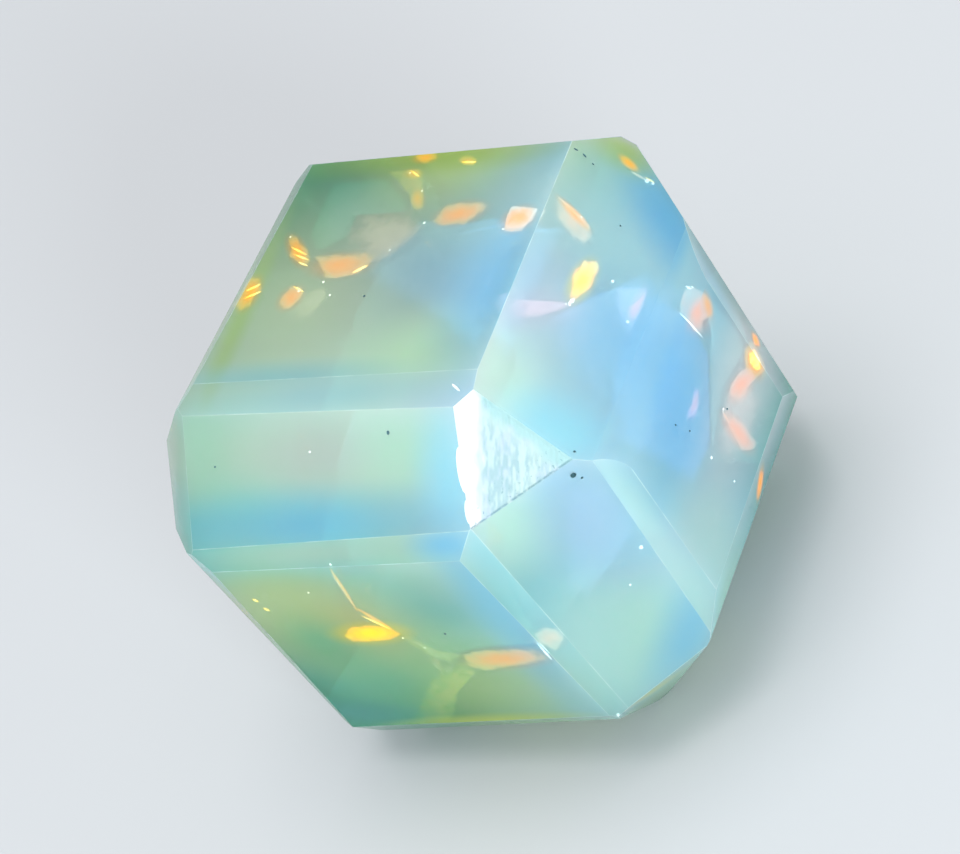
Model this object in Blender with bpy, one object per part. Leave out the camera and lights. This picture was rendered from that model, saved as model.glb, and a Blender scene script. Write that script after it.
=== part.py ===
"""Opal cube: one natural stone, cut to a cube of about 12 mm with bevelled edges.

The stone is a block cut back by flat facets, the way a cutter works it: every facet has a
direction, read as azimuth and elevation, and a depth from the middle of the cube.
Azimuth 0 is the front (-Y), 90 the right side (+X), 180 the back and -90 the left side.
"""
import math

import bmesh
import bpy
from mathutils import Vector

MM = 0.001
EDGE = 12.0 * MM  # one side of the cube, face to face
HALF = EDGE / 2
BLOCK = 1.4 * EDGE  # the rough block that the facets are cut from
SHARP = HALF * math.sqrt(2)  # depth at which a 45 degree bevel would only touch its edge

# The six faces of the cube. A hand-cut stone is not quite square, so the sides lean a little.
FACES = {
    "top": (0, 90, HALF),
    "bottom": (0, -90, HALF),
    "right": (91.5, 1, HALF + 0.11 * MM),
    "front": (0.5, -1, HALF - 0.08 * MM),
    "left": (-91.5, -1, HALF + 0.20 * MM),
    "back": (179, 2, HALF - 0.10 * MM),
}

# Broad bevels along the twelve edges. The three that meet at the near corner show most.
BROAD_BEVELS = {
    "top front": (-1, 42, SHARP - 1.89 * MM),
    "front right": (44, 2.5, SHARP - 1.92 * MM),
    "top right": (92, 37.5, SHARP - 1.97 * MM),
    "back right": (132, -1, SHARP - 1.55 * MM),
    "bottom right": (91, -46, SHARP - 2.11 * MM),
    "bottom front": (5, -46.5, SHARP - 1.42 * MM),
    "top back": (179, 45.5, SHARP - 0.82 * MM),
    "front left": (-50, -3, SHARP - 0.54 * MM),
    "top left": (-91, 42, SHARP - 0.49 * MM),
    "bottom left": (-90, -44, SHARP - 1.20 * MM),
    "bottom back": (180, -45, SHARP - 1.45 * MM),
    "back left": (-136, 1, SHARP - 1.05 * MM),
}

# Narrow bevels between a face and the broad bevel beside it.
NARROW_BEVELS = {
    "top front, upper": (-0.5, 83, HALF + 0.27 * MM),
    "top front, lower": (0, 22, HALF + 0.60 * MM),
    "front right, left": (25.5, 1.5, HALF + 0.63 * MM),
    "front right, right": (60, 2, HALF + 0.80 * MM),
    "back right, right": (114.5, 0, HALF + 0.80 * MM),
    "bottom right, upper": (92, -24, HALF + 0.52 * MM),
    "bottom front, upper": (2.5, -29, HALF + 1.00 * MM),
    "front left, front": (-24.5, -1, HALF + 1.53 * MM),
    "top left, upper": (-92.5, 61, HALF + 1.72 * MM),
    "bottom back, upper": (180, -22, HALF + 0.86 * MM),
    "back left, left": (-113, 0, HALF + 1.05 * MM),
}

# Corners. The near one is left as a rough frosted triangle, the others are small polished tips.
CORNERS = {
    "near corner": (44, 33.5, HALF + 1.37 * MM),
    "left front top": (-38.5, 37.5, HALF + 2.30 * MM),
    "right front bottom": (48.5, -41, HALF + 1.39 * MM),
    "left back bottom": (-134, -36, HALF + 1.95 * MM),
    "right back bottom": (136, -34, HALF + 2.10 * MM),
    "left front bottom": (-44, -36, HALF + 2.75 * MM),
}


def direction(azimuth, elevation):
    """Unit vector out of the stone for an azimuth and an elevation in degrees."""
    turn = math.radians(azimuth)
    rise = math.radians(elevation)
    return Vector((math.sin(turn) * math.cos(rise), -math.cos(turn) * math.cos(rise), math.sin(rise)))


def cut_facet(bm, azimuth, elevation, depth):
    """Saws the body off flat at this depth and closes the cut with one flat face."""
    normal = direction(azimuth, elevation)
    everything = list(bm.verts) + list(bm.edges) + list(bm.faces)
    cut = bmesh.ops.bisect_plane(
        bm,
        geom=everything,
        dist=1e-7,
        plane_co=normal * depth,
        plane_no=normal,
        clear_outer=True,
    )
    rim = [item for item in cut["geom_cut"] if isinstance(item, bmesh.types.BMEdge)]
    if rim:
        bmesh.ops.contextual_create(bm, geom=rim)


def cut_stone():
    """The whole body, with the middle of its flat bottom at the origin."""
    bm = bmesh.new()
    bmesh.ops.create_cube(bm, size=BLOCK)
    for family in (FACES, BROAD_BEVELS, NARROW_BEVELS, CORNERS):
        for azimuth, elevation, depth in family.values():
            cut_facet(bm, azimuth, elevation, depth)
    low = [min(v.co[axis] for v in bm.verts) for axis in range(3)]
    high = [max(v.co[axis] for v in bm.verts) for axis in range(3)]
    middle = Vector(((low[0] + high[0]) / 2, (low[1] + high[1]) / 2, low[2]))
    bmesh.ops.translate(bm, verts=bm.verts, vec=-middle)
    bmesh.ops.recalc_face_normals(bm, faces=bm.faces)
    mesh = bpy.data.meshes.new("opal_cube")
    bm.to_mesh(mesh)
    bm.free()
    return mesh


def opal():
    """Milky blue-green stone with a polished surface."""
    material = bpy.data.materials.new("opal")
    material.use_nodes = True
    shader = material.node_tree.nodes["Principled BSDF"]
    shader.inputs["Base Color"].default_value = (0.36, 0.66, 0.68, 1.0)
    shader.inputs["Roughness"].default_value = 0.08
    shader.inputs["Metallic"].default_value = 0.0
    shader.inputs["IOR"].default_value = 1.45
    shader.inputs["Transmission Weight"].default_value = 0.5
    return material


def main():
    for old in list(bpy.data.objects):
        bpy.data.objects.remove(old, do_unlink=True)
    mesh = cut_stone()
    mesh.materials.append(opal())
    stone = bpy.data.objects.new("opal_cube", mesh)
    bpy.context.scene.collection.objects.link(stone)


main()
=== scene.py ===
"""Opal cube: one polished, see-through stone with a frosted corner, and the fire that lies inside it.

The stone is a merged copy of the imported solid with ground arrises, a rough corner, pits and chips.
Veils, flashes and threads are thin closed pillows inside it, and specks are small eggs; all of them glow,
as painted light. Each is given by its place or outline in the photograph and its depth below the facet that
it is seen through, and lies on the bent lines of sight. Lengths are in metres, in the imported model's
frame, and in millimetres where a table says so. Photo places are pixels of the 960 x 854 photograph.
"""
import math

import bmesh
import bpy
import numpy as np
from mathutils import Matrix, Vector
from mathutils.bvhtree import BVHTree
from mathutils.geometry import delaunay_2d_cdt


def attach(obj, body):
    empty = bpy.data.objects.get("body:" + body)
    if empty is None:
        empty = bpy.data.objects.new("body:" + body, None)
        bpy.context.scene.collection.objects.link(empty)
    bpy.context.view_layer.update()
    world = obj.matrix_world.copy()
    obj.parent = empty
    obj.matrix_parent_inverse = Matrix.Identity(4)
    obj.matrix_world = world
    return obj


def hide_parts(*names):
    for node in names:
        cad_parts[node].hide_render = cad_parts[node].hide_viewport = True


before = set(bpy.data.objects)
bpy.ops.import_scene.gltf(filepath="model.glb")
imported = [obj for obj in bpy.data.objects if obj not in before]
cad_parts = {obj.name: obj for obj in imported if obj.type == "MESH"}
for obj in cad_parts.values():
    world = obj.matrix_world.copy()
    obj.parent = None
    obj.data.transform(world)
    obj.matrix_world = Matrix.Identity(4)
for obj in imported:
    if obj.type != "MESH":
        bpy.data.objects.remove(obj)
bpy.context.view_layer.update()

MM = 0.001
STONE_NODE = "opal_cube"
OPAL_INDEX = 1.45  # refractive index

# The camera, worked out from the stone's edges in the photograph.
PHOTO_WIDTH, PHOTO_HEIGHT = 960, 854
SENSOR_WIDTH = 36.0
LENS = 132.5
FOCAL_PIXELS = LENS / SENSOR_WIDTH * PHOTO_WIDTH
CAMERA_AZIMUTH, CAMERA_ELEVATION, CAMERA_ROLL = 48.29, 37.87, -37.36
CAMERA_DISTANCE = 90.9 * MM
AIM_ACROSS, AIM_ALONG = -0.734 * MM, 0.504 * MM  # how far the lens points beside the stone's middle
STONE_MIDDLE = Vector((0.081, -0.041, 6.0)) * MM

MERGED = 1e-6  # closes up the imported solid's loose triangles, and slivers left by the cutters
FLUSH = 1e-7  # joins the rough corner's rim, which meets the stone point for point
SHORTEST = 5e-6  # closes up shorter edges where arrises meet

# The ground line along every edge, and the one edge that is rounded off instead.
ARRIS_WIDTH = 0.018 * MM
ARRIS_ANGLE = math.radians(5)  # facets that meet at less than this have no line between them
ROUNDED_EDGE = ((92.0, 37.5), (91.5, 1.0))  # the ways that the top right bevel and the right side face
ROUNDING, ROUNDING_STEPS = 0.6 * MM, 16

# The rough corner: the way it faces, and its outline's ends in the photo.
CORNER_FACING = (44.0, 33.5)
SHOULDER, HEAD, TIP, FOOT = (454.5, 408), (474.5, 390.5), (571.5, 459.3), (471.5, 528.5)
GRAIN_SPACING = 0.03 * MM
ROW_SPACING = 0.87 * GRAIN_SPACING
RELIEF_DEPTH = 0.05 * MM
RELIEF_RIM = 0.10 * MM  # the relief fades out over this distance from the corner's outline
SHEEN_BAND = 0.85 * MM  # the smoother band along the corner's left side, at its head, painted white as a highlight of its sheen
SMOOTH_STRIP = 0.30 * MM  # the strip along its upper side
UNSCRATCHED = 0.50 * MM  # scratches grow to full strength over this distance from that side
GRITTY, DARK_RIM = 0.70 * MM, 0.025 * MM  # the grit and the dark rim along its lower right side
RAGGED_BY = 0.12 * MM  # how far the edges of the band and of the strip wander
# Noises on it: length across and along the streaks, and the seed.
STREAKS = (0.07 * MM, 0.45 * MM, 5)
GRAIN = (0.045 * MM, 0.09 * MM, 6)
RAGGED = (0.20 * MM, 0.35 * MM, 8)
SCRATCHES = (0.06 * MM, 0.30 * MM, 9)
FLECKS = (0.04 * MM, 0.12 * MM, 10)
LATTICE = 64  # the noises repeat after this many lumps

# Places in the stone's list of materials.
ARRIS, ROUGH, PIT, CHIP = 1, 2, 3, 4

# The milk: half its light passes, and the rest scatters just below the surface.
MILK = {"IOR": OPAL_INDEX, "Transmission_Weight": 0.5, "Subsurface_Weight": 1.0,
        "Subsurface_Radius": (1.0, 1.0, 1.0), "Subsurface_Scale": 3.0 * MM}

# Facets show the milk this far below them, so its colour jumps from one facet to the next.
MILK_DEPTH = 2.0 * MM

# Soft clouds of colour in the milky body: middle and radii in millimetres, then the colour.
# Each one is laid over those before it.
SEA_GREEN = (0.20, 0.55, 0.40)
CLOUDS = {
    "cream, front of the top": ((2.5, -1.5, 11.5), (7, 10, 5.5), (0.95, 0.98, 0.8)),
    "blue, middle of the top": ((0.5, 2.5, 9), (5.5, 7, 4.5), (0.1, 0.4, 0.65)),
    "straw, back of the top": ((2, 5, 9.5), (6, 5, 5.5), (0.95, 0.98, 0.15)),
    "pale blue low on the right": ((4.5, -3.5, 4.5), (7, 8, 6), (0.7, 0.9, 0.98)),
    "mint, top front bevel": ((-2, -4.5, 11.5), (8.5, 6.5, 6), (0.85, 0.98, 0.95)),
    "deep blue on the right": ((5, 3.5, 9), (7.5, 6.5, 7.5), (0.05, 0.6, 0.85)),
    "cream, back right corner": ((5, 2.5, 12.5), (6, 4, 9.5), (0.85, 0.95, 0.9)),
    "blue, front bevels": ((-3, -6, 7.5), (5, 4.5, 7), (0.2, 0.9, 0.98)),
    "rose in the right side": ((3, 2.5, 5.5), (5, 7, 2.5), (0.85, 0.85, 0.85)),
    "sky, near corner": ((5, -4.5, 10.5), (5, 9, 6.5), (0.7, 0.85, 0.98)),
    "honey in the front": ((-3, -2.5, 6.5), (4.5, 5.5, 3), (0.95, 0.8, 0.3)),
    "straw low in the front": ((0.5, -2.5, 4), (5.5, 3, 4), (0.8, 0.9, 0.45)),
    "sand, left of the top": ((-3, 0, 9.5), (7, 6, 1.5), (0.8, 0.85, 0.7)),
    "moss, left of the front": ((-3.5, -4, 5.5), (2.5, 5, 4), (0.5, 0.75, 0.55)),
    # The sides that the photo doesn't show.
    "blue high in the back": ((-2.5, 6, 7), (4.5, 3.5, 3), (0.25, 0.62, 0.95)),
    "straw in the back": ((2, 6.5, 5), (3.5, 3.5, 3.5), (0.9, 0.95, 0.45)),
    "blue low on the back left": ((-6, 5, 3), (3.5, 3.5, 3.5), (0.3, 0.72, 0.95)),
    "lime in the left side": ((-6.5, -1, 5), (3.5, 4, 3.5), (0.8, 0.95, 0.55)),
    "pale at the foot behind": ((1, 5, 0.5), (6, 4, 3), (0.75, 0.92, 0.9)),
}

# Glows of colour that each show in one facet only, partly the milk's own colour and partly painted light
# and shade that each facet shows by reflection
# and refraction: photo place, photo place that the length points to, half length and half width in
# millimetres, and the colour.
GLOWS = {
    "moss, left rim of the top": ((243, 312), (285, 215), (5, 0.6), (0.66, 0.78, 0.46)),
    "olive, back of the top": ((430, 155), (550, 145), (6, 1), (0.58, 0.7, 0.22)),
    "leaf green low in the top": ((432, 352), (400, 350), (3.2, 2), (0.78, 0.92, 0.76)),
    "cyan, front of the top": ((280, 378), (400, 372), (5.5, 0.8), (0.58, 0.8, 0.82)),
    "blue in the top": ((500, 290), (520, 240), (4, 2.4), (0.52, 0.76, 0.88)),
    "blue in the upper line": ((330, 395), (430, 390), (5.5, 1.2), (0.66, 0.83, 0.86)),
    "lime, left of the broad bevel": ((195, 450), (230, 450), (2, 2), (0.68, 0.84, 0.74)),
    "rose in the broad bevel": ((310, 455), (380, 453), (3.8, 1.6), (0.8, 0.83, 0.8)),
    "lime in the broad bevel": ((405, 450), (430, 448), (2.2, 1.7), (0.78, 0.91, 0.82)),
    "blue, foot of the broad bevel": ((310, 526), (400, 520), (7, 1.3), (0.5, 0.78, 0.9)),
    "cyan beside the corner": ((448, 475), (450, 510), (2.4, 1.4), (0.66, 0.9, 0.98)),
    "pale in the lower line": ((310, 555), (400, 552), (5.5, 1), (0.76, 0.86, 0.78)),
    "blue, end of the lower line": ((452, 548), (460, 547), (1.7, 1), (0.52, 0.8, 0.95)),
    "lime high in the front": ((280, 592), (400, 585), (5, 2.1), (0.77, 0.83, 0.58)),
    "blue, right of the front": ((495, 605), (550, 675), (6, 1.3), (0.54, 0.79, 0.9)),
    "teal low in the front": ((362, 714), (420, 714), (3, 1), (0.26, 0.6, 0.58)),
    "straw, foot of the front": ((490, 721), (560, 717.5), (4.5, 0.45), (0.78, 0.84, 0.36)),
    "cyan in the line beside the front": ((520, 590), (560, 640), (6, 0.9), (0.67, 0.88, 0.89)),
    "lime below the corner": ((510, 518), (530, 545), (2.4, 1.6), (0.8, 0.92, 0.83)),
    "lavender below the corner": ((585, 520), (620, 570), (3.2, 2), (0.69, 0.8, 0.88)),
    "aqua in the right bevel": ((600, 635), (640, 690), (3.6, 1.9), (0.73, 0.89, 0.87)),
    "pale in the line beside the right side": ((642, 512), (670, 550), (5.5, 0.9), (0.8, 0.93, 0.92)),
    "straw, lower right corner": ((652, 691), (668, 681), (1.4, 0.8), (0.9, 0.92, 0.62)),
    "blue, right of the bevel": ((690, 635), (680, 660), (3, 1.4), (0.52, 0.78, 0.9)),
    "lime above the corner": ((498, 378), (510, 350), (2.4, 1.5), (0.84, 0.94, 0.87)),
    "cyan right of the corner": ((560, 430), (590, 440), (2.4, 1.5), (0.66, 0.9, 0.96)),
    "rose, upper bevel": ((545, 300), (560, 260), (3, 1.7), (0.78, 0.84, 0.88)),
    "pink beside the brightest": ((533, 309), (568, 303), (1.8, 0.8), (0.8, 0.8, 0.84)),
    "blue below the upper tip": ((672, 222), (692, 262), (2.8, 1.4), (0.4, 0.7, 0.88)),
    "olive, upper tip": ((628, 150), (650, 165), (1.5, 1), (0.66, 0.74, 0.32)),
    "deep blue in the right side": ((672, 390), (680, 440), (4, 2.2), (0.5, 0.74, 0.88)),
    "aqua low in the right side": ((695, 540), (730, 480), (3.6, 2), (0.75, 0.88, 0.87)),
    "teal in the outer line": ((722, 280), (745, 315), (4, 0.8), (0.48, 0.66, 0.64)),
}
GLOW_STRENGTH = 0.75
GLOW_HEIGHT = 3.0 * MM  # glows are read this far above the surface, where the facets lie apart
GLOW_THICKNESS = 0.3 * MM

# Pits and chips in the surface: photo place, length, width and depth in millimetres, and the photo
# place that the length points to.
PITS = {
    "pit beside the corner": ((573.3, 475.3), 0.15, 0.14, 0.12, (580, 475.3)),
    "small pit beside it": ((582, 477.7), 0.07, 0.06, 0.05, (590, 477.7)),
    "pit at the corner's tip": ((574.5, 451.5), 0.08, 0.06, 0.05, (580, 451.5)),
    "pit in the top front bevel": ((388, 432.7), 0.11, 0.09, 0.05, (388, 440)),
    "speck left in the bevel": ((215, 467), 0.06, 0.05, 0.03, (220, 467)),
    "speck in the top": ((364.2, 296), 0.07, 0.06, 0.05, (370, 296)),
    "speck in the front": ((445, 634), 0.07, 0.05, 0.05, (450, 634)),
    "speck high in the right side": ((659.9, 362.7), 0.07, 0.05, 0.05, (664, 362.7)),
    "speck in the upper bevel": ((620.4, 225.7), 0.05, 0.05, 0.05, (624, 225.7)),
    "speck at the right": ((727.2, 409), 0.08, 0.06, 0.05, (731, 409)),
    "speck low in the right side": ((675.8, 425), 0.06, 0.05, 0.05, (680, 425)),
    "speck beside that": ((689.9, 431), 0.06, 0.05, 0.05, (694, 431)),
    "first nick by the upper tip": ((576, 149.5), 0.12, 0.04, 0.04, (584.6, 154)),
    "second nick by the upper tip": ((584.6, 155.5), 0.14, 0.05, 0.05, (590, 162)),
    "third nick by the upper tip": ((593, 164), 0.07, 0.04, 0.04, (597, 168)),
}
CHIPS = {
    "sliver above the corner": ((456, 387.5), 0.38, 0.07, 0.05, (461.5, 392.5)),
    "scallop in the corner's side": ((462.5, 470), 1.15, 0.36, 0.12, (466.5, 494)),
    "nick below the scallop": ((468.5, 512), 0.6, 0.22, 0.08, (471, 529)),
}

# How the fire glows, as painted light that stands in for the light the opal's play of colour sends back:
# colours of the rim and the core, strength, opacity and softness of the rim. Then how strongly it paints
# its glow onto the milk above it as a tint, and how far, in reaches of the flash.
FIRES = {
    "amber": ((0.8, 0.72, 0.34), (0.96, 0.68, 0.1), 0.92, 0.95, 0.25, 0.8, 1.3),
    "honey": ((0.68, 0.74, 0.42), (0.9, 0.74, 0.36), 0.82, 0.8, 0.3, 0.6, 1.3),
    "peach": ((0.82, 0.75, 0.52), (0.95, 0.68, 0.38), 1.0, 0.95, 0.35, 0.65, 1.3),
    "yellow": ((1.0, 0.68, 0.0), (1.0, 0.88, 0.0), 1.3, 1.0, 0.12, 1.0, 1.8),
    "coral": ((0.98, 0.92, 0.88), (1.0, 0.74, 0.48), 1.15, 0.95, 0.2, 0.8, 1.4),
    "cream": ((1.0, 0.62, 0.3), (1.0, 0.93, 0.52), 1.3, 1.0, 0.35, 0.9, 1.3),
    "rose": ((0.84, 0.78, 0.72), (0.96, 0.72, 0.62), 1.0, 0.9, 0.3, 0.65, 1.3),
    "lavender": ((0.88, 0.8, 0.98), (1.0, 0.78, 0.84), 1.1, 0.65, 0.4, 0.15, 1.2),
    "pale": ((0.9, 0.83, 0.7), (1.0, 0.8, 0.64), 0.95, 0.5, 0.4, 0.25, 1.2),
    "olive": ((0.62, 0.66, 0.25), (0.85, 0.72, 0.35), 0.85, 0.55, 0.25, 0, 0),
    # white and gold are painted glints: specks and threads that glow brightly
    "white": ((0.95, 0.97, 1.0), (1.0, 1.0, 1.0), 2.2, 1.0, 0.1, 0, 0),
    "gold": ((1.0, 0.75, 0.2), (1.0, 0.95, 0.65), 3.0, 1.0, 0.2, 0, 0),
    "rust": ((1.0, 0.62, 0.15), (1.0, 0.7, 0.22), 1.5, 0.95, 0.2, 1.0, 1.4),
}

# Flashes: kind of fire, depth in millimetres, place of the core, and outline.
FLASHES = {
    "striped, upper left": ("amber", 0.45, (301, 255), [
        (287, 238), (291, 233), (297, 235), (299, 243), (307, 247), (312, 261), (304, 268), (296, 261),
        (288, 256), (291, 248)]),
    "long, left": ("peach", 0.5, (340, 274), [
        (313, 255), (352, 251), (380, 252), (369, 266), (361, 273), (338, 278), (323, 279), (320, 268)]),
    "spot, left": ("peach", 0.4, (297, 294), [
        (276, 306), (281, 295), (287, 292), (290, 286), (301, 285), (305, 293), (297, 303), (287, 312)]),
    "striped, left rim": ("amber", 0.4, (252, 292), [
        (246, 284), (252, 276), (261, 278), (262, 290), (253, 298), (250, 308), (238, 313), (234, 305),
        (240, 292)]),
    "at the top rim": ("amber", 0.3, (427, 156), [
        (414, 154), (436, 152), (438, 158), (424, 164), (417, 160)]),
    "small, by the top rim": ("honey", 0.3, (468, 161), [
        (458, 160), (466, 154), (479, 159), (474, 166), (463, 165)]),
    "funnel": ("olive", 0.45, (415, 180), [
        (386, 171), (424, 168), (424, 210), (412, 211), (408, 195), (397, 183)]),
    "in the funnel's mouth": ("honey", 0.45, (416, 173), [
        (404, 171), (420, 169), (421, 177), (413, 180), (406, 176)]),
    "in the funnel's foot": ("honey", 0.45, (419, 203), [
        (412, 190), (424, 192), (424, 208), (414, 211), (410, 200)]),
    "lozenge, top": ("peach", 0.5, (453, 217), [
        (431, 222), (439, 211), (450, 202), (490, 201), (488, 208), (479, 216), (467, 225), (440, 226)]),
    "parallelogram, top": ("coral", 0.4, (514, 217), [
        (512, 205), (541, 208), (534, 219), (523, 230), (504, 231), (506, 217)]),
    "streak, upper right": ("pale", 0.4, (580, 222), [
        (556, 195), (569, 204), (584, 218), (593, 232), (593, 242), (584, 248), (568, 236), (552, 215)]),
    "in the streak": ("peach", 0.35, (586, 222), [
        (557, 195), (570, 204), (584, 217), (592, 231), (587, 232), (573, 220), (561, 206)]),
    "brightest, right side": ("cream", 0.45, (587, 274), [
        (573, 268), (580, 265), (583, 259), (597, 260), (601, 269), (595, 279), (593, 289), (583, 294),
        (575, 302), (567, 301), (571, 288), (570, 278)]),
    "spike": ("lavender", 0.5, (636, 306), [
        (649, 285), (643, 305), (636, 322), (628, 323), (627, 307), (640, 299)]),
    "diamond, right": ("rose", 0.4, (692, 312), [
        (689, 285), (704, 290), (713, 303), (714, 317), (704, 321), (702, 338), (695, 334), (680, 312),
        (684, 298)]),
    "curl in the diamond": ("peach", 0.35, (709, 312), [
        (702, 291), (709, 296), (713, 305), (714, 317), (706, 319), (706, 306)]),
    "at the upper right tip": ("amber", 0.25, (631, 165), [
        (618, 155), (628, 156), (640, 170), (634, 172), (621, 163)]),
    "orange, right edge": ("rust", 0.2, (756, 340), [(752, 332), (757, 335), (761, 347), (754, 345)]),
    "yellow, right edge": ("gold", 0.3, (757, 362), [
        (748, 352), (755, 350), (762, 369), (756, 371), (750, 363)]),
    "orange, by the yellow": ("amber", 0.4, (753, 356), [
        (744, 350), (752, 340), (762, 350), (766, 372), (754, 380), (745, 370)]),
    "pink, right edge": ("rose", 0.4, (744, 380), [
        (729, 384), (735, 378), (741, 368), (752, 365), (757, 377), (748, 388), (746, 398), (736, 403),
        (727, 397)]),
    "faint, right side": ("lavender", 0.5, (694, 404), [
        (694, 387), (700, 389), (697, 418), (686, 420), (685, 414), (692, 405)]),
    "rod": ("rose", 0.4, (745, 440), [
        (721, 412), (730, 411), (735, 418), (744, 423), (757, 442), (755, 450), (741, 452), (737, 442),
        (731, 433), (727, 422)]),
    "yellow bar": ("yellow", 0.4, (378, 633), [
        (344, 637), (347, 629), (353, 626), (358, 628), (364, 625), (388, 627), (402, 634), (391, 640),
        (365, 642), (352, 642)]),
    "orange bar": ("peach", 0.45, (490, 660), [
        (459, 656), (471, 650), (532, 648), (555, 658), (536, 664), (481, 672), (467, 666)]),
    "pale, front right bevel": ("pale", 0.4, (545, 638), [
        (532, 633), (544, 625), (561, 629), (566, 640), (557, 652), (537, 643)]),
    "upright band, front": ("olive", 0.5, (436, 714), [
        (431, 678), (471, 655), (480, 668), (470, 677), (459, 692), (454, 722), (412, 722), (424, 692)]),
    "orange, right outline": ("rust", 0.25, (760, 485), [
        (760, 468), (764, 472), (762, 489), (758, 502), (756, 497)]),
}

# Threads of light for each kind of fire, glowing lines of painted light and glint: depth and width in
# millimetres, and both ends.
THREADS = {
    "gold": [
        (0.45, 0.07, (352, 273), (368, 265)), (0.33, 0.05, (293, 286), (304, 292)),
        (0.28, 0.06, (461, 162), (477, 162)), (0.4, 0.05, (410, 170), (420, 177)),
        (0.25, 0.05, (645, 177), (655, 183)), (0.3, 0.04, (360, 615), (392, 630)),
        (0.35, 0.06, (246, 291), (261, 284)), (0.35, 0.05, (243, 299), (262, 291)),
        (0.35, 0.06, (291, 247), (307, 255)), (0.35, 0.06, (293, 254), (309, 260)),
        (0.35, 0.05, (298, 262), (308, 266)), (0.28, 0.06, (252, 599), (259, 602)),
        (0.28, 0.06, (263, 608), (270, 611))],
    "coral": [
        (0.28, 0.06, (557, 195), (590, 228)), (0.25, 0.07, (630, 171), (648, 181)),
        (0.3, 0.04, (331, 574), (356, 608)), (0.28, 0.06, (504, 231), (512, 206)),
        (0.28, 0.05, (504, 231), (524, 230)), (0.28, 0.04, (722, 410), (729, 423))],
    "rust": [
        (0.35, 0.1, (356, 608), (396, 632)), (0.35, 0.09, (329, 567), (358, 612))],
    "white": [
        (0.28, 0.05, (537, 643), (552, 660)), (0.3, 0.05, (681, 313), (703, 338)),
        (0.3, 0.06, (688, 286), (693, 290)), (0.28, 0.07, (568, 304), (575, 298))],
}

# Specks of light, painted glints that glow white: photo place and size in millimetres, all just under the
# surface.
SPECKS = [
    (290.4, 237, 0.06), (424, 223, 0.08), (422, 191, 0.06), (389.7, 250, 0.06), (323.4, 282, 0.08),
    (329.7, 295, 0.07), (581.5, 217, 0.05), (612.6, 281.3, 0.08), (627.8, 321.8, 0.08),
    (711.5, 457.6, 0.09), (734.5, 481.3, 0.06), (739.3, 532.7, 0.05), (641.2, 547.2, 0.11),
    (630.3, 584.8, 0.06), (723.6, 409, 0.07), (309.7, 452, 0.06), (330.3, 564.2, 0.07),
    (253.9, 599.8, 0.05), (268.5, 610.3, 0.05), (308.4, 592.6, 0.06), (403, 638, 0.06),
    (424.8, 647.8, 0.07), (618, 714.5, 0.08), (298.7, 291, 0.08), (572, 301, 0.12), (569.7, 304.8, 0.07),
    (647, 181, 0.12), (653, 183.6, 0.08), (410, 173, 0.06), (566, 304, 0.05), (503, 229, 0.06),
    (694, 288, 0.06),
]
SPECK_DEPTH = 0.3 * MM

# Thickness of the sheets in millimetres, and how much higher than its depth a thread lies.
FLASH_THICKNESS, THREAD_THICKNESS, VEIL_THICKNESS = 0.08, 0.03, 0.05
THREAD_LIFT = 0.06

# Veils: large faint sheets of colour that glow, painted light that stands in for the lighter and darker
# patches that refraction through the back facets shows.
# Colour, opacity, softness, depth in millimetres, place of the core, which lies near the crisper side, and
# outline.
VEILS = {
    "teal, top left": ((0.22, 0.56, 0.46), 0.45, 0.15, 1.6, (345, 215), [
        (332, 182), (388, 176), (408, 197), (411, 211), (386, 213), (358, 213), (348, 238), (316, 254),
        (308, 235)]),
    "blush, top": ((1.0, 0.76, 0.6), 0.42, 0.8, 1.8, (397, 240), [
        (350, 207), (386, 206), (414, 206), (429, 225), (404, 249), (372, 269), (347, 258), (338, 237)]),
    "blush under the spot": ((0.86, 0.78, 0.62), 0.2, 0.6, 1.2, (322, 295), [
        (285, 312), (303, 290), (325, 285), (328, 297), (310, 320), (290, 325)]),
    "blue, top": ((0.34, 0.66, 0.88), 0.3, 0.3, 2.0, (450, 236), [
        (360, 262), (394, 239), (418, 218), (434, 220), (466, 222), (505, 215), (528, 222), (541, 212),
        (478, 360), (440, 330), (390, 300), (362, 283)]),
    "blue, top right bevel": ((0.32, 0.62, 0.88), 0.35, 0.6, 2.0, (600, 300), [
        (537, 323), (571, 306), (600, 290), (615, 287), (650, 268), (688, 284), (650, 430), (590, 420),
        (552, 370)]),
    "blue, right side": ((0.34, 0.62, 0.88), 0.35, 0.2, 2.0, (698, 385), [
        (672, 300), (690, 318), (704, 342), (709, 352), (711, 450), (693, 490), (625, 450), (640, 350)]),
    "pale, round the spike": ((0.82, 0.86, 1.0), 0.35, 0.4, 1.9, (636, 300), [
        (611, 286), (650, 284), (644, 310), (628, 342), (616, 320)]),
    "green grey, right side": ((0.5, 0.72, 0.7), 0.3, 0.15, 1.5, (715, 352), [
        (700, 284), (740, 330), (745, 352), (722, 392), (712, 460), (709, 352), (713, 318)]),
    "grey green, front": ((0.36, 0.62, 0.52), 0.3, 0.12, 1.6, (440, 630), [
        (335, 575), (357, 615), (400, 635), (425, 650), (450, 655), (490, 647), (535, 645), (500, 600),
        (455, 560), (390, 562)]),
    "pale trail, front": ((0.75, 0.76, 0.45), 0.35, 0.4, 1.2, (430, 650), [
        (399, 632), (420, 641), (445, 654), (470, 656), (455, 664), (432, 658), (404, 642)]),
    "lavender, front right bevel": ((0.66, 0.76, 0.95), 0.15, 0.4, 1.2, (610, 540), [
        (560, 480), (600, 470), (640, 520), (634, 535), (607, 575), (585, 604), (560, 600)]),
    "pink grey, right edge": ((0.98, 0.78, 0.72), 0.25, 0.6, 0.8, (738, 410), [
        (722, 392), (750, 370), (765, 400), (752, 450), (728, 470), (714, 455)]),
    "pink, right side": ((1.0, 0.8, 0.86), 0.4, 0.6, 1.2, (556, 305), [
        (506, 298), (568, 301), (572, 307), (538, 319), (506, 320)]),
}

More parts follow.
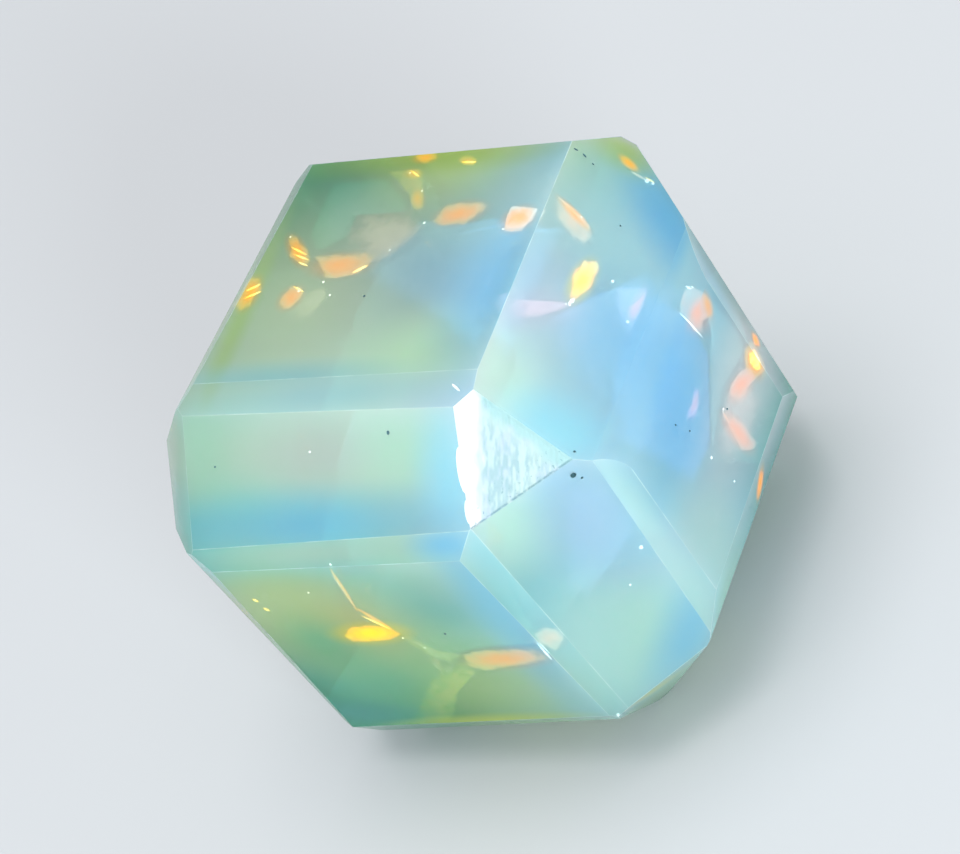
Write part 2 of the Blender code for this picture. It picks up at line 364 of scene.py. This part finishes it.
# The studio: a key light low on the camera's right, a softbox above, and pale light from all round.
KEY_DISTANCE, KEY_SIZE, KEY_POWER, KEY_COLOUR = 0.25, 0.10, 0.68, (0.86, 0.96, 1.0)
KEY_TILT = math.radians(24)  # away from the line to the camera
SOFTBOX_HEIGHT, SOFTBOX_SIZE, SOFTBOX_POWER, SOFTBOX_COLOUR = 0.35, 0.30, 0.72, (1.0, 1.0, 1.0)
STUDIO_COLOUR, STUDIO_STRENGTH = (0.90, 0.96, 1.0, 1.0), 0.88
FLOOR_REACH, FLOOR_COLOUR = 1.5, (0.50, 0.50, 0.51, 1.0)


def direction(azimuth, elevation):
    """Unit vector for an azimuth and elevation in degrees: azimuth 0 is -Y, 90 is +X."""
    turn, rise = math.radians(azimuth), math.radians(elevation)
    return Vector((math.sin(turn) * math.cos(rise), -math.cos(turn) * math.cos(rise), math.sin(rise)))


def camera_axes():
    """The camera's right, up and backward directions: azimuth, elevation, then roll about the view."""
    back = direction(CAMERA_AZIMUTH, CAMERA_ELEVATION)
    turn, roll = math.radians(CAMERA_AZIMUTH), math.radians(CAMERA_ROLL)
    level = Vector((math.cos(turn), math.sin(turn), 0.0))
    plumb = back.cross(level)
    right = level * math.cos(roll) + plumb * math.sin(roll)
    up = plumb * math.cos(roll) - level * math.sin(roll)
    return right, up, back


RIGHT, UP, BACK = camera_axes()
EYE = STONE_MIDDLE + RIGHT * AIM_ACROSS + UP * AIM_ALONG + BACK * CAMERA_DISTANCE


# Lines of sight into the stone.

def merged_copy():
    """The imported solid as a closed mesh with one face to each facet."""
    bm = bmesh.new()
    bm.from_mesh(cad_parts[STONE_NODE].data)
    bmesh.ops.remove_doubles(bm, verts=bm.verts, dist=MERGED)
    bmesh.ops.dissolve_limit(bm, angle_limit=math.radians(0.5), verts=bm.verts, edges=bm.edges)
    bm.normal_update()
    return bm


FACETS = BVHTree.FromBMesh(merged_copy())


def sight(x, y):
    """Direction of the line of sight through a photo place."""
    across = RIGHT * (x - PHOTO_WIDTH / 2)
    along = UP * (PHOTO_HEIGHT / 2 - y)
    return (across + along - BACK * FOCAL_PIXELS).normalized()


def window(x, y):
    """The facet that a photo place shows, as a point on it and its outward normal."""
    point, normal, _, _ = FACETS.ray_cast(EYE, sight(x, y))
    if point is None:
        raise ValueError(f"the stone isn't seen at the photo place {x}, {y}")
    return point, normal


def on_plane(x, y, point, normal):
    """Where the line of sight through a photo place meets a plane."""
    ray = sight(x, y)
    return EYE + ray * ((point - EYE).dot(normal) / ray.dot(normal))


def bend(ray, normal):
    """The ray inside the stone, by Snell's law."""
    ratio = 1.0 / OPAL_INDEX
    facing = -ray.dot(normal)
    return ray * ratio + normal * (ratio * facing - math.sqrt(1.0 - ratio ** 2 * (1.0 - facing ** 2)))


def inside(places, depth):
    """Points inside the stone that are seen at these photo places, and the normal of their common plane.

    All are seen through the facet at the first of the places, on a plane this deep below it.
    """
    pane, normal = window(*places[0])
    points = []
    for x, y in places:
        entry = on_plane(x, y, pane, normal)
        bent = bend(sight(x, y), normal)
        points.append(entry + bent * (depth / -bent.dot(normal)))
    return np.array(points), np.array(normal)


# Surfaces.

def eased(value):
    """0 below 0, 1 above 1, and 3 v^2 - 2 v^3 between them."""
    value = np.clip(value, 0.0, 1.0)
    return value * value * (3 - 2 * value)


def lattice_noise(u, v, lumps):
    """Smooth noise from -1 to 1: seeded values on a lattice, eased between the four around a point."""
    across, along, seed = lumps
    table = np.random.default_rng(seed).uniform(-1.0, 1.0, (LATTICE, LATTICE))
    u, v = u / across, v / along
    i, j = np.floor(u).astype(int), np.floor(v).astype(int)
    s, t = eased(u - i), eased(v - j)
    i, j, after_i, after_j = i % LATTICE, j % LATTICE, (i + 1) % LATTICE, (j + 1) % LATTICE
    near = table[i, j] * (1 - s) + table[after_i, j] * s
    far = table[i, after_j] * (1 - s) + table[after_i, after_j] * s
    return near * (1 - t) + far * t


def softened(corners, count=64, shares=(0.06, 0.25)):
    """A closed outline whose corners are cut off, the first share of each side from its ends and then the
    second share of each new side, read at even steps along its length."""
    loop = np.asarray(corners, float)
    for share in shares:
        after = np.roll(loop, -1, axis=0)
        loop = np.stack([(1 - share) * loop + share * after, share * loop + (1 - share) * after], axis=1)
        loop = loop.reshape(-1, 3)
    closed = np.vstack([loop, loop[:1]])
    run = np.concatenate([[0.0], np.cumsum(np.linalg.norm(np.diff(closed, axis=0), axis=1))])
    steps = np.linspace(0.0, run[-1], count, endpoint=False)
    return np.stack([np.interp(steps, run, closed[:, axis]) for axis in range(3)], axis=1)


def belts(rows, around):
    """Quads between rows of points that each close round, numbered row by row."""
    row, k = np.meshgrid(np.arange(rows - 1) * around, np.arange(around), indexing="ij")
    after = (k + 1) % around
    quads = np.stack([row + k, row + after, row + around + after, row + around + k], axis=-1)
    return quads.reshape(-1, 4)


def fan(start, around, pole):
    """Triangles from the row of points that begins at start to a pole."""
    k = start + np.arange(around)
    return np.stack([k, np.roll(k, -1), np.full(around, pole)], axis=1)


def pillow(outline, core, normal, thickness, rings=8):
    """A thin closed pillow over a flat outline.

    point(s, k) = core + s (outline[k] - core) +- normal thickness / 2 sqrt(1 - s^2), with s from
    1 at the rim to 0 at the core. Returns its points, its faces and 1 - s for each point.
    """
    count = len(outline)
    spokes = outline - core
    s = np.linspace(1.0, 0.0, rings + 1)[:-1]
    flat = core + s[:, None, None] * spokes[None]
    rise = (thickness / 2 * np.sqrt(1 - s ** 2))[:, None, None] * normal
    poles = np.stack([core + normal * thickness / 2, core - normal * thickness / 2])
    points = np.vstack([(flat + rise).reshape(-1, 3), (flat - rise)[1:].reshape(-1, 3), poles])
    inward = np.concatenate([np.repeat(1 - s, count), np.repeat(1 - s[1:], count), [1.0, 1.0]])

    last = (rings - 1) * count
    upper = belts(rings, count)
    lower = np.where(upper < count, upper, upper + last)[:, ::-1]
    cap = fan(last, count, len(points) - 2)
    cup = fan(2 * last, count, len(points) - 1)[:, [1, 0, 2]]
    return points, upper.tolist() + lower.tolist() + cap.tolist() + cup.tolist(), inward


def egg(middle, long_axis, wide_axis, deep_axis, around=16, rows=9):
    """A closed egg: point(u, v) = middle + cos v (cos u long + sin u wide) + sin v deep."""
    u = np.linspace(0.0, 2 * math.pi, around, endpoint=False)[None, :, None]
    v = np.linspace(-math.pi / 2, math.pi / 2, rows + 2)[1:-1, None, None]
    shell = middle + np.cos(v) * (np.cos(u) * long_axis + np.sin(u) * wide_axis) + np.sin(v) * deep_axis
    points = np.vstack([shell.reshape(-1, 3), [middle - deep_axis, middle + deep_axis]])
    low = fan(0, around, len(points) - 2)[:, [1, 0, 2]]
    high = fan((rows - 1) * around, around, len(points) - 1)
    faces = belts(rows, around).tolist() + low.tolist() + high.tolist()
    return points, faces, np.ones(len(points))


def mesh_of(name, shapes):
    """One mesh from several closed shapes, facing outwards, that keeps their inward values."""
    points, faces, inward, start = [], [], [], 0
    for shape_points, shape_faces, shape_inward in shapes:
        points.append(shape_points)
        faces += [[start + i for i in face] for face in shape_faces]
        inward.append(shape_inward)
        start += len(shape_points)
    mesh = bpy.data.meshes.new(name)
    mesh.from_pydata(np.vstack(points), [], faces)
    mesh.attributes.new("inward", "FLOAT", "POINT").data.foreach_set("value", np.concatenate(inward))
    bm = bmesh.new()
    bm.from_mesh(mesh)
    bmesh.ops.recalc_face_normals(bm, faces=bm.faces)
    bm.to_mesh(mesh)
    bm.free()
    return mesh


def linked(name, data):
    """A new object of the scene."""
    thing = bpy.data.objects.new(name, data)
    bpy.context.scene.collection.objects.link(thing)
    return thing


def placed(name, mesh, materials):
    """The mesh as an object of the scene, with its materials."""
    for material in materials:
        mesh.materials.append(material)
    return linked(name, mesh)


# Finishes.

def tone(*screen):
    """A colour given as it looks on a screen, as linear light: the standard sRGB curve."""
    return tuple(c / 12.92 if c <= 0.04045 else ((c + 0.055) / 1.055) ** 2.4 for c in screen) + (1.0,)


class Finish:
    """A material in the making: its shader, and short ways to add nodes to it."""

    def __init__(self, name, **sockets):
        self.material = bpy.data.materials.new(name)
        self.material.use_nodes = True
        self.tree = self.material.node_tree
        self.shader = self.tree.nodes["Principled BSDF"]
        self.places = self.tree.nodes.new("ShaderNodeTexCoord")
        for socket, value in sockets.items():
            self.put(self.shader.inputs[socket.replace("_", " ")], value)

    def put(self, socket, value):
        """Sets a socket to a value, or links another socket to it."""
        if isinstance(value, bpy.types.NodeSocket):
            self.tree.links.new(value, socket)
        else:
            socket.default_value = value

    def add(self, kind, values, result=0, **settings):
        """A new node with these sockets and settings: gives the output that is its result."""
        node = self.tree.nodes.new("ShaderNode" + kind)
        for setting, value in settings.items():
            setattr(node, setting, value)
        for socket, value in values.items():
            self.put(node.inputs[socket], value)
        return node.outputs[result]

    def math(self, operation, *terms):
        return self.add("Math", dict(enumerate(terms)), operation=operation)

    def vector(self, operation, *terms, result=0):
        return self.add("VectorMath", dict(enumerate(terms)), result, operation=operation)

    def mix(self, share, under, over):
        """One colour laid over another."""
        return self.add("Mix", {0: share, 6: under, 7: over}, 2, data_type="RGBA")

    def eased(self, value, low, high, start=0.0, end=1.0):
        """Rises smoothly from start to end while the value goes from low to high."""
        return self.add("MapRange", {"Value": value, "From Min": low, "From Max": high, "To Min": start,
                                     "To Max": end}, interpolation_type="SMOOTHSTEP")

    def noise(self, place, size, detail=2.0, roughness=0.5):
        """Noise whose lumps are about this long."""
        return self.add("TexNoise", {"Vector": place, "Scale": 1.0 / size, "Detail": detail,
                                     "Roughness": roughness})

    def cloud(self, place, middle, turn, radii):
        """Share of a soft ellipsoid: 1 in its middle, 0 from its surface on."""
        near = self.add("Mapping", {"Vector": place, "Location": middle, "Rotation": turn, "Scale": radii},
                        vector_type="TEXTURE")
        return self.eased(self.vector("LENGTH", near, result="Value"), 1.0, 0.0)

    def kept(self, name):
        """A value that the mesh keeps for each of its points."""
        return self.add("Attribute", {}, "Fac", attribute_name=name)


def over(pane, normal, long_way, long_reach, wide_reach):
    """Middle, turn and radii of a thin ellipsoid above a facet, at GLOW_HEIGHT over the point pane."""
    turn = Matrix((long_way, normal.cross(long_way), normal)).transposed().to_euler()
    return pane + normal * GLOW_HEIGHT, turn, (long_reach, wide_reach, GLOW_THICKNESS)


def glows():
    """Each glow's ellipsoid, colour and strength."""
    for place, far, (length, width), hue in GLOWS.values():
        pane, normal = window(*place)
        long_way = (on_plane(*far, pane, normal) - pane).normalized()
        yield over(pane, normal, long_way, length * MM, width * MM), hue, GLOW_STRENGTH


def painted_flash_glows():
    """Painted glow: an ellipsoid over each warm flash, the flash's colour and the tint's strength, that
    paints the flash's light onto the milk above it.

    It lies along the outline's longest spread, and its radii are half the outline's length and width,
    made larger by the tint's reach.
    """
    for kind, _, core, places in FLASHES.values():
        *_, strength, reach = FIRES[kind]
        if not strength:
            continue
        pane, normal = window(*core)
        rim = np.array([on_plane(x, y, pane, normal) for x, y in places])
        spread = rim - rim.mean(axis=0)
        long_way = Vector(np.linalg.svd(spread, full_matrices=False)[2][0]).normalized()
        wide_way = normal.cross(long_way)
        extent = spread @ np.array([long_way, wide_way]).T
        low, high = extent.min(axis=0), extent.max(axis=0)
        half, centre = (high - low) / 2 * reach, (low + high) / 2
        middle = Vector(rim.mean(axis=0)) + long_way * centre[0] + wide_way * centre[1]
        yield over(middle, normal, long_way, half[0], half[1]), FIRES[kind][1], strength


def milk_colour(finish):
    """The milk's colour: clouds read MILK_DEPTH below the surface, along its normal, then glows and tints
    read GLOW_HEIGHT above it. Glows are partly painted light and shade, facet by facet, and tints are the
    flashes' painted glow.

    The share of each falls smoothly from its full strength in the middle to 0 where distance / radius is 1.
    """
    places = finish.places.outputs
    below = finish.vector("MULTIPLY_ADD", places["Normal"], (-MILK_DEPTH,) * 3, places["Object"])
    above = finish.vector("MULTIPLY_ADD", places["Normal"], (GLOW_HEIGHT,) * 3, places["Object"])
    colour = tone(*SEA_GREEN)
    for middle, radii, hue in CLOUDS.values():
        share = finish.cloud(below, Vector(middle) * MM, (0.0, 0.0, 0.0), Vector(radii) * MM)
        colour = finish.mix(share, colour, tone(*hue))
    # Painted light laid over the clouds: the glows, then each flash's glow on the milk.
    for shape, hue, strength in (*glows(), *painted_flash_glows()):
        share = finish.math("MULTIPLY", finish.cloud(above, *shape), strength)
        colour = finish.mix(share, colour, tone(*hue))
    return colour


def polished_opal():
    """Milky, see-through stone under a fine polish."""
    finish = Finish("polished_opal", Roughness=0.03, **MILK)
    finish.put(finish.shader.inputs["Base Color"], milk_colour(finish))
    return finish.material


def ground_arris():
    """The edges: the same milk, whiter in places, partly where grinding has dulled the polish and partly as
    a painted highlight of light caught along the edges.
    """
    finish = Finish("ground_arris", Roughness=0.15, **MILK)
    # Whiter patches on the edges: dulled polish, and a painted highlight of the light the edges catch.
    wear_and_glint = finish.eased(finish.noise(finish.places.outputs["Object"], 0.8 * MM, detail=3.0), 0.40, 0.70,
                        0.15, 0.6)
    colour = finish.mix(wear_and_glint, milk_colour(finish), tone(0.90, 1.0, 0.98))
    finish.put(finish.shader.inputs["Base Color"], colour)
    return finish.material


def frosted_corner():
    """Rough and whitish, faintly blue where the scratches lie deep, with a whiter band that is a painted
    highlight of sheen, and dark grit.
    """
    finish = Finish("frosted_corner", Roughness=0.6, IOR=OPAL_INDEX, Transmission_Weight=0.1)
    places = finish.places.outputs["Object"]
    grit_colour = tone(0.38, 0.52, 0.56)
    blot = finish.noise(places, 0.5 * MM)
    colour = finish.mix(finish.eased(blot, 0.4, 0.6), tone(0.69, 0.77, 0.75), tone(0.67, 0.73, 0.78))
    colour = finish.mix(finish.kept("scratch"), colour, tone(0.59, 0.69, 0.71))
    colour = finish.mix(finish.kept("strip"), colour, tone(0.60, 0.73, 0.73))
    # Painted highlight: the band's grey-white stands for the sheen on the smoother band.
    colour = finish.mix(finish.kept("band"), colour, tone(0.82, 0.82, 0.82))
    speck = finish.eased(finish.noise(places, 0.07 * MM, detail=1.0), 0.68, 0.74, 0.0, 0.6)
    colour = finish.mix(finish.math("MULTIPLY", speck, finish.kept("grit")), colour, grit_colour)
    broken = finish.eased(finish.noise(places, 0.12 * MM), 0.35, 0.55, 0.2, 0.9)
    colour = finish.mix(finish.math("MULTIPLY", broken, finish.kept("rim")), colour, grit_colour)
    finish.put(finish.shader.inputs["Base Color"], colour)
    return finish.material


def plain_cut(name, hue, roughness):
    """The inside of a pit or chip, with fine dust in it."""
    finish = Finish(name, Roughness=roughness)
    dust = finish.noise(finish.places.outputs["Object"], 0.03 * MM)
    light = tuple(min(1.0, c * 1.6) for c in hue)
    finish.put(finish.shader.inputs["Base Color"], finish.mix(dust, tone(*hue), tone(*light)))
    return finish.material


def fire(name, rim, core, glow, opacity, softness, patchiness=1.0):
    """Play of colour as painted light: it glows by emission, though it is no lamp, from the rim's colour to
    the core's, patchy, and fades out at its rim.

    The mesh keeps "inward", 0 at the rim and 1 at the core. The patches shift it, and thin the body.
    """
    # Painted light: the fire glows by emission, though it is no lamp.
    finish = Finish(name, Roughness=0.5, Emission_Strength=glow)
    inward = finish.kept("inward")
    places = finish.vector("MULTIPLY", finish.places.outputs["Object"], (1.0, 0.5, 1.0))
    patch = finish.math("SUBTRACT", finish.noise(places, 0.2 * MM, detail=3.0), 0.5)
    patch = finish.math("MULTIPLY", patch, patchiness)
    warmth = finish.eased(finish.math("MULTIPLY_ADD", patch, 2.5, inward), 0.0, 0.8)
    colour = finish.mix(warmth, tone(*rim), tone(*core))
    edge = finish.eased(finish.math("MULTIPLY_ADD", patch, 1.5 * softness, inward), 0.0, softness)
    body = finish.eased(patch, -0.25, 0.05, 0.6 * opacity, opacity)
    shader = finish.shader.inputs
    finish.put(shader["Base Color"], finish.mix(0.7, colour, (0.0, 0.0, 0.0, 1.0)))
    finish.put(shader["Emission Color"], colour)
    finish.put(shader["Alpha"], finish.math("MULTIPLY", edge, body))
    return finish.material


# The stone.

def in_facet(normal):
    """The photo's right laid into a facet, and the direction at right angles to it there."""
    across = (RIGHT - normal * RIGHT.dot(normal)).normalized()
    return across, normal.cross(across)


def corner_patch(face):
    """The rough corner as a fine grid, pressed in along the facet's normal.

    press = depth (1/2 + 1/2 noise) fade, where the noise is streaks along the photo's upright with
    finer grain on them, and the fade rises from 0 at the outline to 1 at RELIEF_RIM from it.
    """
    normal, heart = face.normal.copy(), face.calc_center_median()
    across, along = in_facet(normal)
    rim = np.array([loop.vert.co for loop in face.loops])
    corners = (rim - np.array(heart)) @ np.array([across, along]).T
    sides = np.roll(corners, -1, axis=0) - corners
    inward = np.stack([-sides[:, 1], sides[:, 0]], axis=1) / np.linalg.norm(sides, axis=1)[:, None]
    inside_by = ((corners[None] - corners[:, None]) * inward[:, None]).sum(axis=2).min(axis=1)
    walls = inside_by > -ARRIS_WIDTH  # not the short sides that lead into an arris

    low, high = corners.min(axis=0), corners.max(axis=0)
    columns = np.arange(low[0], high[0], GRAIN_SPACING)
    u, v = np.meshgrid(columns, np.arange(low[1], high[1], ROW_SPACING))
    u = u + (np.arange(len(u)) % 2)[:, None] * GRAIN_SPACING / 2
    grid = np.stack([u.ravel(), v.ravel()], axis=1)
    room = ((grid[:, None] - corners[walls]) * inward[walls]).sum(axis=2).min(axis=1)
    clear = room > GRAIN_SPACING * 0.6
    grid, room = grid[clear], room[clear]

    streaks, grain = lattice_noise(*grid.T, STREAKS), lattice_noise(*grid.T, GRAIN)
    press = RELIEF_DEPTH * (0.5 + 0.35 * streaks + 0.15 * grain) * eased(room / RELIEF_RIM)

    flat = np.vstack([corners, grid])
    count = len(corners)
    outline = list(range(count))
    _, _, triangles, origin, _, _ = delaunay_2d_cdt([Vector(p) for p in flat], [], [outline], 1, 1e-9)
    order = [indices[0] for indices in origin]
    solid = np.array(heart) + flat @ np.array([across, along])
    solid[count:] -= press[:, None] * np.array(normal)
    solid[:count] = rim
    patch = bpy.data.meshes.new("corner_patch")
    patch.from_pydata(solid, [], [[order[i] for i in triangle] for triangle in triangles])
    patch.polygons.foreach_set("material_index", np.full(len(triangles), ROUGH, dtype=np.int32))
    return patch


def eggs(cuts):
    """An egg for each pit or chip, its middle on the surface."""
    for (x, y), length, width, depth, far in cuts.values():
        point, normal = window(x, y)
        axis = (on_plane(*far, point, normal) - point).normalized()
        yield egg(np.array(point), np.array(axis) * length / 2 * MM,
                  np.array(normal.cross(axis)) * width / 2 * MM, np.array(normal) * depth * MM)


def cut_away(stone, name, cuts, index):
    """Cuts pits or chips out of the stone. Their walls get the material at this place in its list."""
    mesh = mesh_of(name, eggs(cuts))
    mesh.attributes.remove(mesh.attributes["inward"])
    mesh.polygons.foreach_set("material_index", np.full(len(mesh.polygons), index, dtype=np.int32))
    cutter = placed(name, mesh, list(stone.data.materials))
    cut = stone.modifiers.new(name, "BOOLEAN")
    cut.operation = "DIFFERENCE"
    cut.solver = "EXACT"
    cut.material_mode = "TRANSFER"
    cut.object = cutter
    depsgraph = bpy.context.evaluated_depsgraph_get()
    whole = bpy.data.meshes.new_from_object(stone.evaluated_get(depsgraph))
    stone.modifiers.remove(cut)
    stone.data = whole
    bpy.data.objects.remove(cutter)
    bpy.data.meshes.remove(mesh)


def mark_corner(mesh):
    """Marks how far each point of the rough corner lies in the white band of painted sheen, in a scratch,
    in the smooth strip, in the grit and in the dark rim.

    band = eased 1 - distance / width from the left side, narrower towards its foot, scratch = eased sum
    of two noises, strip the same as band from the upper side, and grit and rim from the lower right side.
    """
    points = np.empty(len(mesh.vertices) * 3)
    mesh.vertices.foreach_get("co", points)
    points = points.reshape(-1, 3)
    towards = direction(*CORNER_FACING)
    shoulder, head, tip, foot = (np.array(window(*place)[0]) for place in (SHOULDER, HEAD, TIP, FOOT))
    u, v = (points @ np.array(way) for way in in_facet(towards))

    def beside(start, end):
        """Distance of each point from the line through two of the corner's ends."""
        side = (end - start) / np.linalg.norm(end - start)
        return np.abs(np.cross(side, points - start) @ np.array(towards))

    left = beside(shoulder, foot)
    down = np.clip((points - shoulder) @ (foot - shoulder) / np.sum((foot - shoulder) ** 2), 0, 1)
    upper, lower = beside(head, tip), beside(tip, foot)
    ragged = RAGGED_BY * lattice_noise(u, v, RAGGED)
    scratches, flecks = lattice_noise(u, v, SCRATCHES), lattice_noise(u, v, FLECKS)
    marks = {
        "band": eased(1.8 * (1.0 - (left + ragged) / (SHEEN_BAND * (1.0 - 0.65 * down)))),
        "scratch": eased(0.5 + 0.9 * scratches + 0.6 * flecks) * eased(upper / UNSCRATCHED - 0.3),
        "strip": eased(1.4 - (upper + ragged) / SMOOTH_STRIP),
        "grit": eased(1.3 - lower / GRITTY),
        "rim": eased(1.5 - lower / DARK_RIM),
    }
    for name, values in marks.items():
        mesh.attributes.new(name, "FLOAT", "POINT").data.foreach_set("value", values)


def round_edge(bm):
    """Rounds off the edge between two facets, with even steps that are shaded smooth."""
    sides = [max(bm.faces, key=lambda f: f.normal.dot(direction(*angles))) for angles in ROUNDED_EDGE]
    edge = next(e for e in sides[0].edges if e in set(sides[1].edges))
    made = bmesh.ops.bevel(bm, geom=[edge], offset=ROUNDING, offset_type="OFFSET",
                           segments=ROUNDING_STEPS, profile=0.5, affect="EDGES")
    for face in made["faces"]:
        face.smooth = True
    bm.normal_update()


def split_side(edge, pieces):
    """Puts evenly spaced points on an edge."""
    end = edge.verts[0]
    for left in range(pieces, 1, -1):
        _, end = bmesh.utils.edge_split(edge, end, 1.0 / left)


def make_stone():
    """The visual stone: rounds the one edge, grinds the others, presses in the rough corner and cuts."""
    bm = merged_copy()
    round_edge(bm)
    towards = direction(*CORNER_FACING)
    corner = max(bm.faces, key=lambda f: f.normal.dot(towards))
    sharp = [e for e in bm.edges if e.calc_face_angle() > ARRIS_ANGLE and corner not in e.link_faces]
    bmesh.ops.bevel(bm, geom=sharp, offset=ARRIS_WIDTH, offset_type="OFFSET", segments=2, profile=0.5,
                    affect="EDGES", clamp_overlap=True, material=ARRIS)
    bmesh.ops.dissolve_degenerate(bm, dist=SHORTEST, edges=bm.edges)
    bmesh.ops.recalc_face_normals(bm, faces=bm.faces)
    bm.normal_update()
    corner = max((f for f in bm.faces if f.normal.dot(towards) > 0.999), key=lambda f: f.calc_area())
    for edge in [e for e in corner.edges if e.calc_length() > RELIEF_RIM]:
        split_side(edge, math.ceil(edge.calc_length() / (2 * GRAIN_SPACING)))
    patch = corner_patch(corner)
    bmesh.ops.delete(bm, geom=[corner], context="FACES_ONLY")
    bm.from_mesh(patch)
    bmesh.ops.remove_doubles(bm, verts=bm.verts, dist=FLUSH)
    bmesh.ops.recalc_face_normals(bm, faces=bm.faces)
    mesh = bpy.data.meshes.new("opal_stone")
    bm.to_mesh(mesh)
    bm.free()
    bpy.data.meshes.remove(patch)

    materials = [polished_opal(), ground_arris(), frosted_corner(),
                 plain_cut("dark_pit", (0.23, 0.33, 0.35), 0.4),
                 plain_cut("white_chip", (0.66, 0.70, 0.72), 0.35)]
    stone = placed("opal_stone", mesh, materials)
    cut_away(stone, "pit_cutter", PITS, PIT)
    cut_away(stone, "chip_cutter", CHIPS, CHIP)
    bm = bmesh.new()
    bm.from_mesh(stone.data)
    bmesh.ops.dissolve_degenerate(bm, dist=MERGED, edges=bm.edges)
    bm.to_mesh(stone.data)
    bm.free()
    mark_corner(stone.data)
    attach(stone, "root")
    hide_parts(STONE_NODE)


# What is sealed in it.

def sealed(name, shapes, material):
    """A piece inside the stone."""
    piece = placed(name, mesh_of(name, shapes), [material])
    piece.data.shade_smooth()
    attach(piece, "root")


def sheet(core, places, depth, thickness):
    """A thin pillow over an outline of photo places, its depth and thickness in millimetres."""
    points, normal = inside([core] + places, depth * MM)
    return pillow(softened(points[1:]), points[0], normal, thickness * MM)


def sliver(start, end, width):
    """Outline of a thread: half width (1/4 + 3/4 sin(pi t)) on both sides of the line from start to end."""
    start, end = np.array(start), np.array(end)
    side = np.array([start[1] - end[1], end[0] - start[0]]) / np.linalg.norm(end - start)
    t = np.linspace(0.0, 1.0, 9)[:, None]
    half = side * width / 2 * FOCAL_PIXELS / CAMERA_DISTANCE * MM * (0.25 + 0.75 * np.sin(math.pi * t))
    line = start + (end - start) * t
    return np.vstack([line + half, (line - half)[::-1]]).tolist()


def make_fire():
    """Flashes, threads and specks, in one piece for each kind of fire, all painted light that glows."""
    shapes = {kind: [] for kind in FIRES}
    for kind, depth, core, places in FLASHES.values():
        shapes[kind].append(sheet(core, places, depth, FLASH_THICKNESS))
    for kind, threads in THREADS.items():
        for depth, width, start, end in threads:
            middle = ((start[0] + end[0]) / 2, (start[1] + end[1]) / 2)
            outline = sliver(start, end, width)
            shapes[kind].append(sheet(middle, outline, depth - THREAD_LIFT, THREAD_THICKNESS))
    for x, y, size in SPECKS:
        (middle,), _ = inside([(x, y)], SPECK_DEPTH)
        axes = np.array([RIGHT, UP, BACK]) * (size / 2 * MM)
        shapes["white"].append(egg(middle, *axes, around=8, rows=5))
    for kind, values in FIRES.items():
        sealed("fire_" + kind, shapes[kind], fire("fire_" + kind, *values[:-2]))


def make_veils():
    """Each veil as a piece of its own, paler towards its core, glowing as painted light."""
    for name, (hue, opacity, softness, depth, core, places) in VEILS.items():
        piece = "veil_" + name.replace(", ", "_").replace(" ", "_")
        pale = tuple(0.3 + 0.7 * c for c in hue)
        # Painted light: each veil glows with its own colour.
        finish = fire(piece, hue, pale, 1.0, opacity, softness, patchiness=0.4)
        sealed(piece, [sheet(core, places, depth, VEIL_THICKNESS)], finish)


# Stage, lights and camera.

def make_camera():
    """The camera of the photo."""
    camera = linked("camera", bpy.data.cameras.new("camera"))
    camera.data.sensor_width = SENSOR_WIDTH
    camera.data.lens = LENS
    camera.data.clip_start = 0.005
    turned = Matrix((RIGHT, UP, BACK)).transposed().to_4x4()
    camera.matrix_world = Matrix.Translation(EYE) @ turned
    bpy.context.scene.camera = camera


def area_light(name, place, size, power, hue):
    """A round soft light that points at the stone's middle."""
    light = linked(name, bpy.data.lights.new(name, "AREA"))
    light.data.shape = "DISK"
    light.data.size = size
    light.data.energy = power
    light.data.color = hue
    light.location = place
    light.rotation_euler = (place - STONE_MIDDLE).to_track_quat("Z", "Y").to_euler()
    return light


def make_stage():
    """Pale paper under the stone and plain soft light."""
    floor_mesh = bpy.data.meshes.new("floor")
    corners = [(x * FLOOR_REACH, y * FLOOR_REACH, 0) for x, y in ((-1, -1), (1, -1), (1, 1), (-1, 1))]
    floor_mesh.from_pydata(corners, [], [(0, 1, 2, 3)])
    paper = Finish("pale_floor", Base_Color=FLOOR_COLOUR, Roughness=0.9)
    placed("floor", floor_mesh, [paper.material])
    world = bpy.data.worlds.new("studio")
    world.use_nodes = True
    world.node_tree.nodes["Background"].inputs["Color"].default_value = STUDIO_COLOUR
    world.node_tree.nodes["Background"].inputs["Strength"].default_value = STUDIO_STRENGTH
    bpy.context.scene.world = world
    side = (RIGHT * 0.7 - UP * 0.7).normalized()
    away = BACK * math.cos(KEY_TILT) + side * math.sin(KEY_TILT)
    key = area_light("key", STONE_MIDDLE + away * KEY_DISTANCE, KEY_SIZE, KEY_POWER, KEY_COLOUR)
    # Otherwise its image, mirrored or seen through the stone, fills a whole facet with white.
    key.visible_glossy = False
    key.visible_transmission = False
    above = STONE_MIDDLE + Vector((0.0, 0.0, SOFTBOX_HEIGHT))
    area_light("top", above, SOFTBOX_SIZE, SOFTBOX_POWER, SOFTBOX_COLOUR)
    bpy.context.scene.view_settings.view_transform = "Standard"


make_camera()
make_stage()
make_stone()
make_fire()
make_veils()
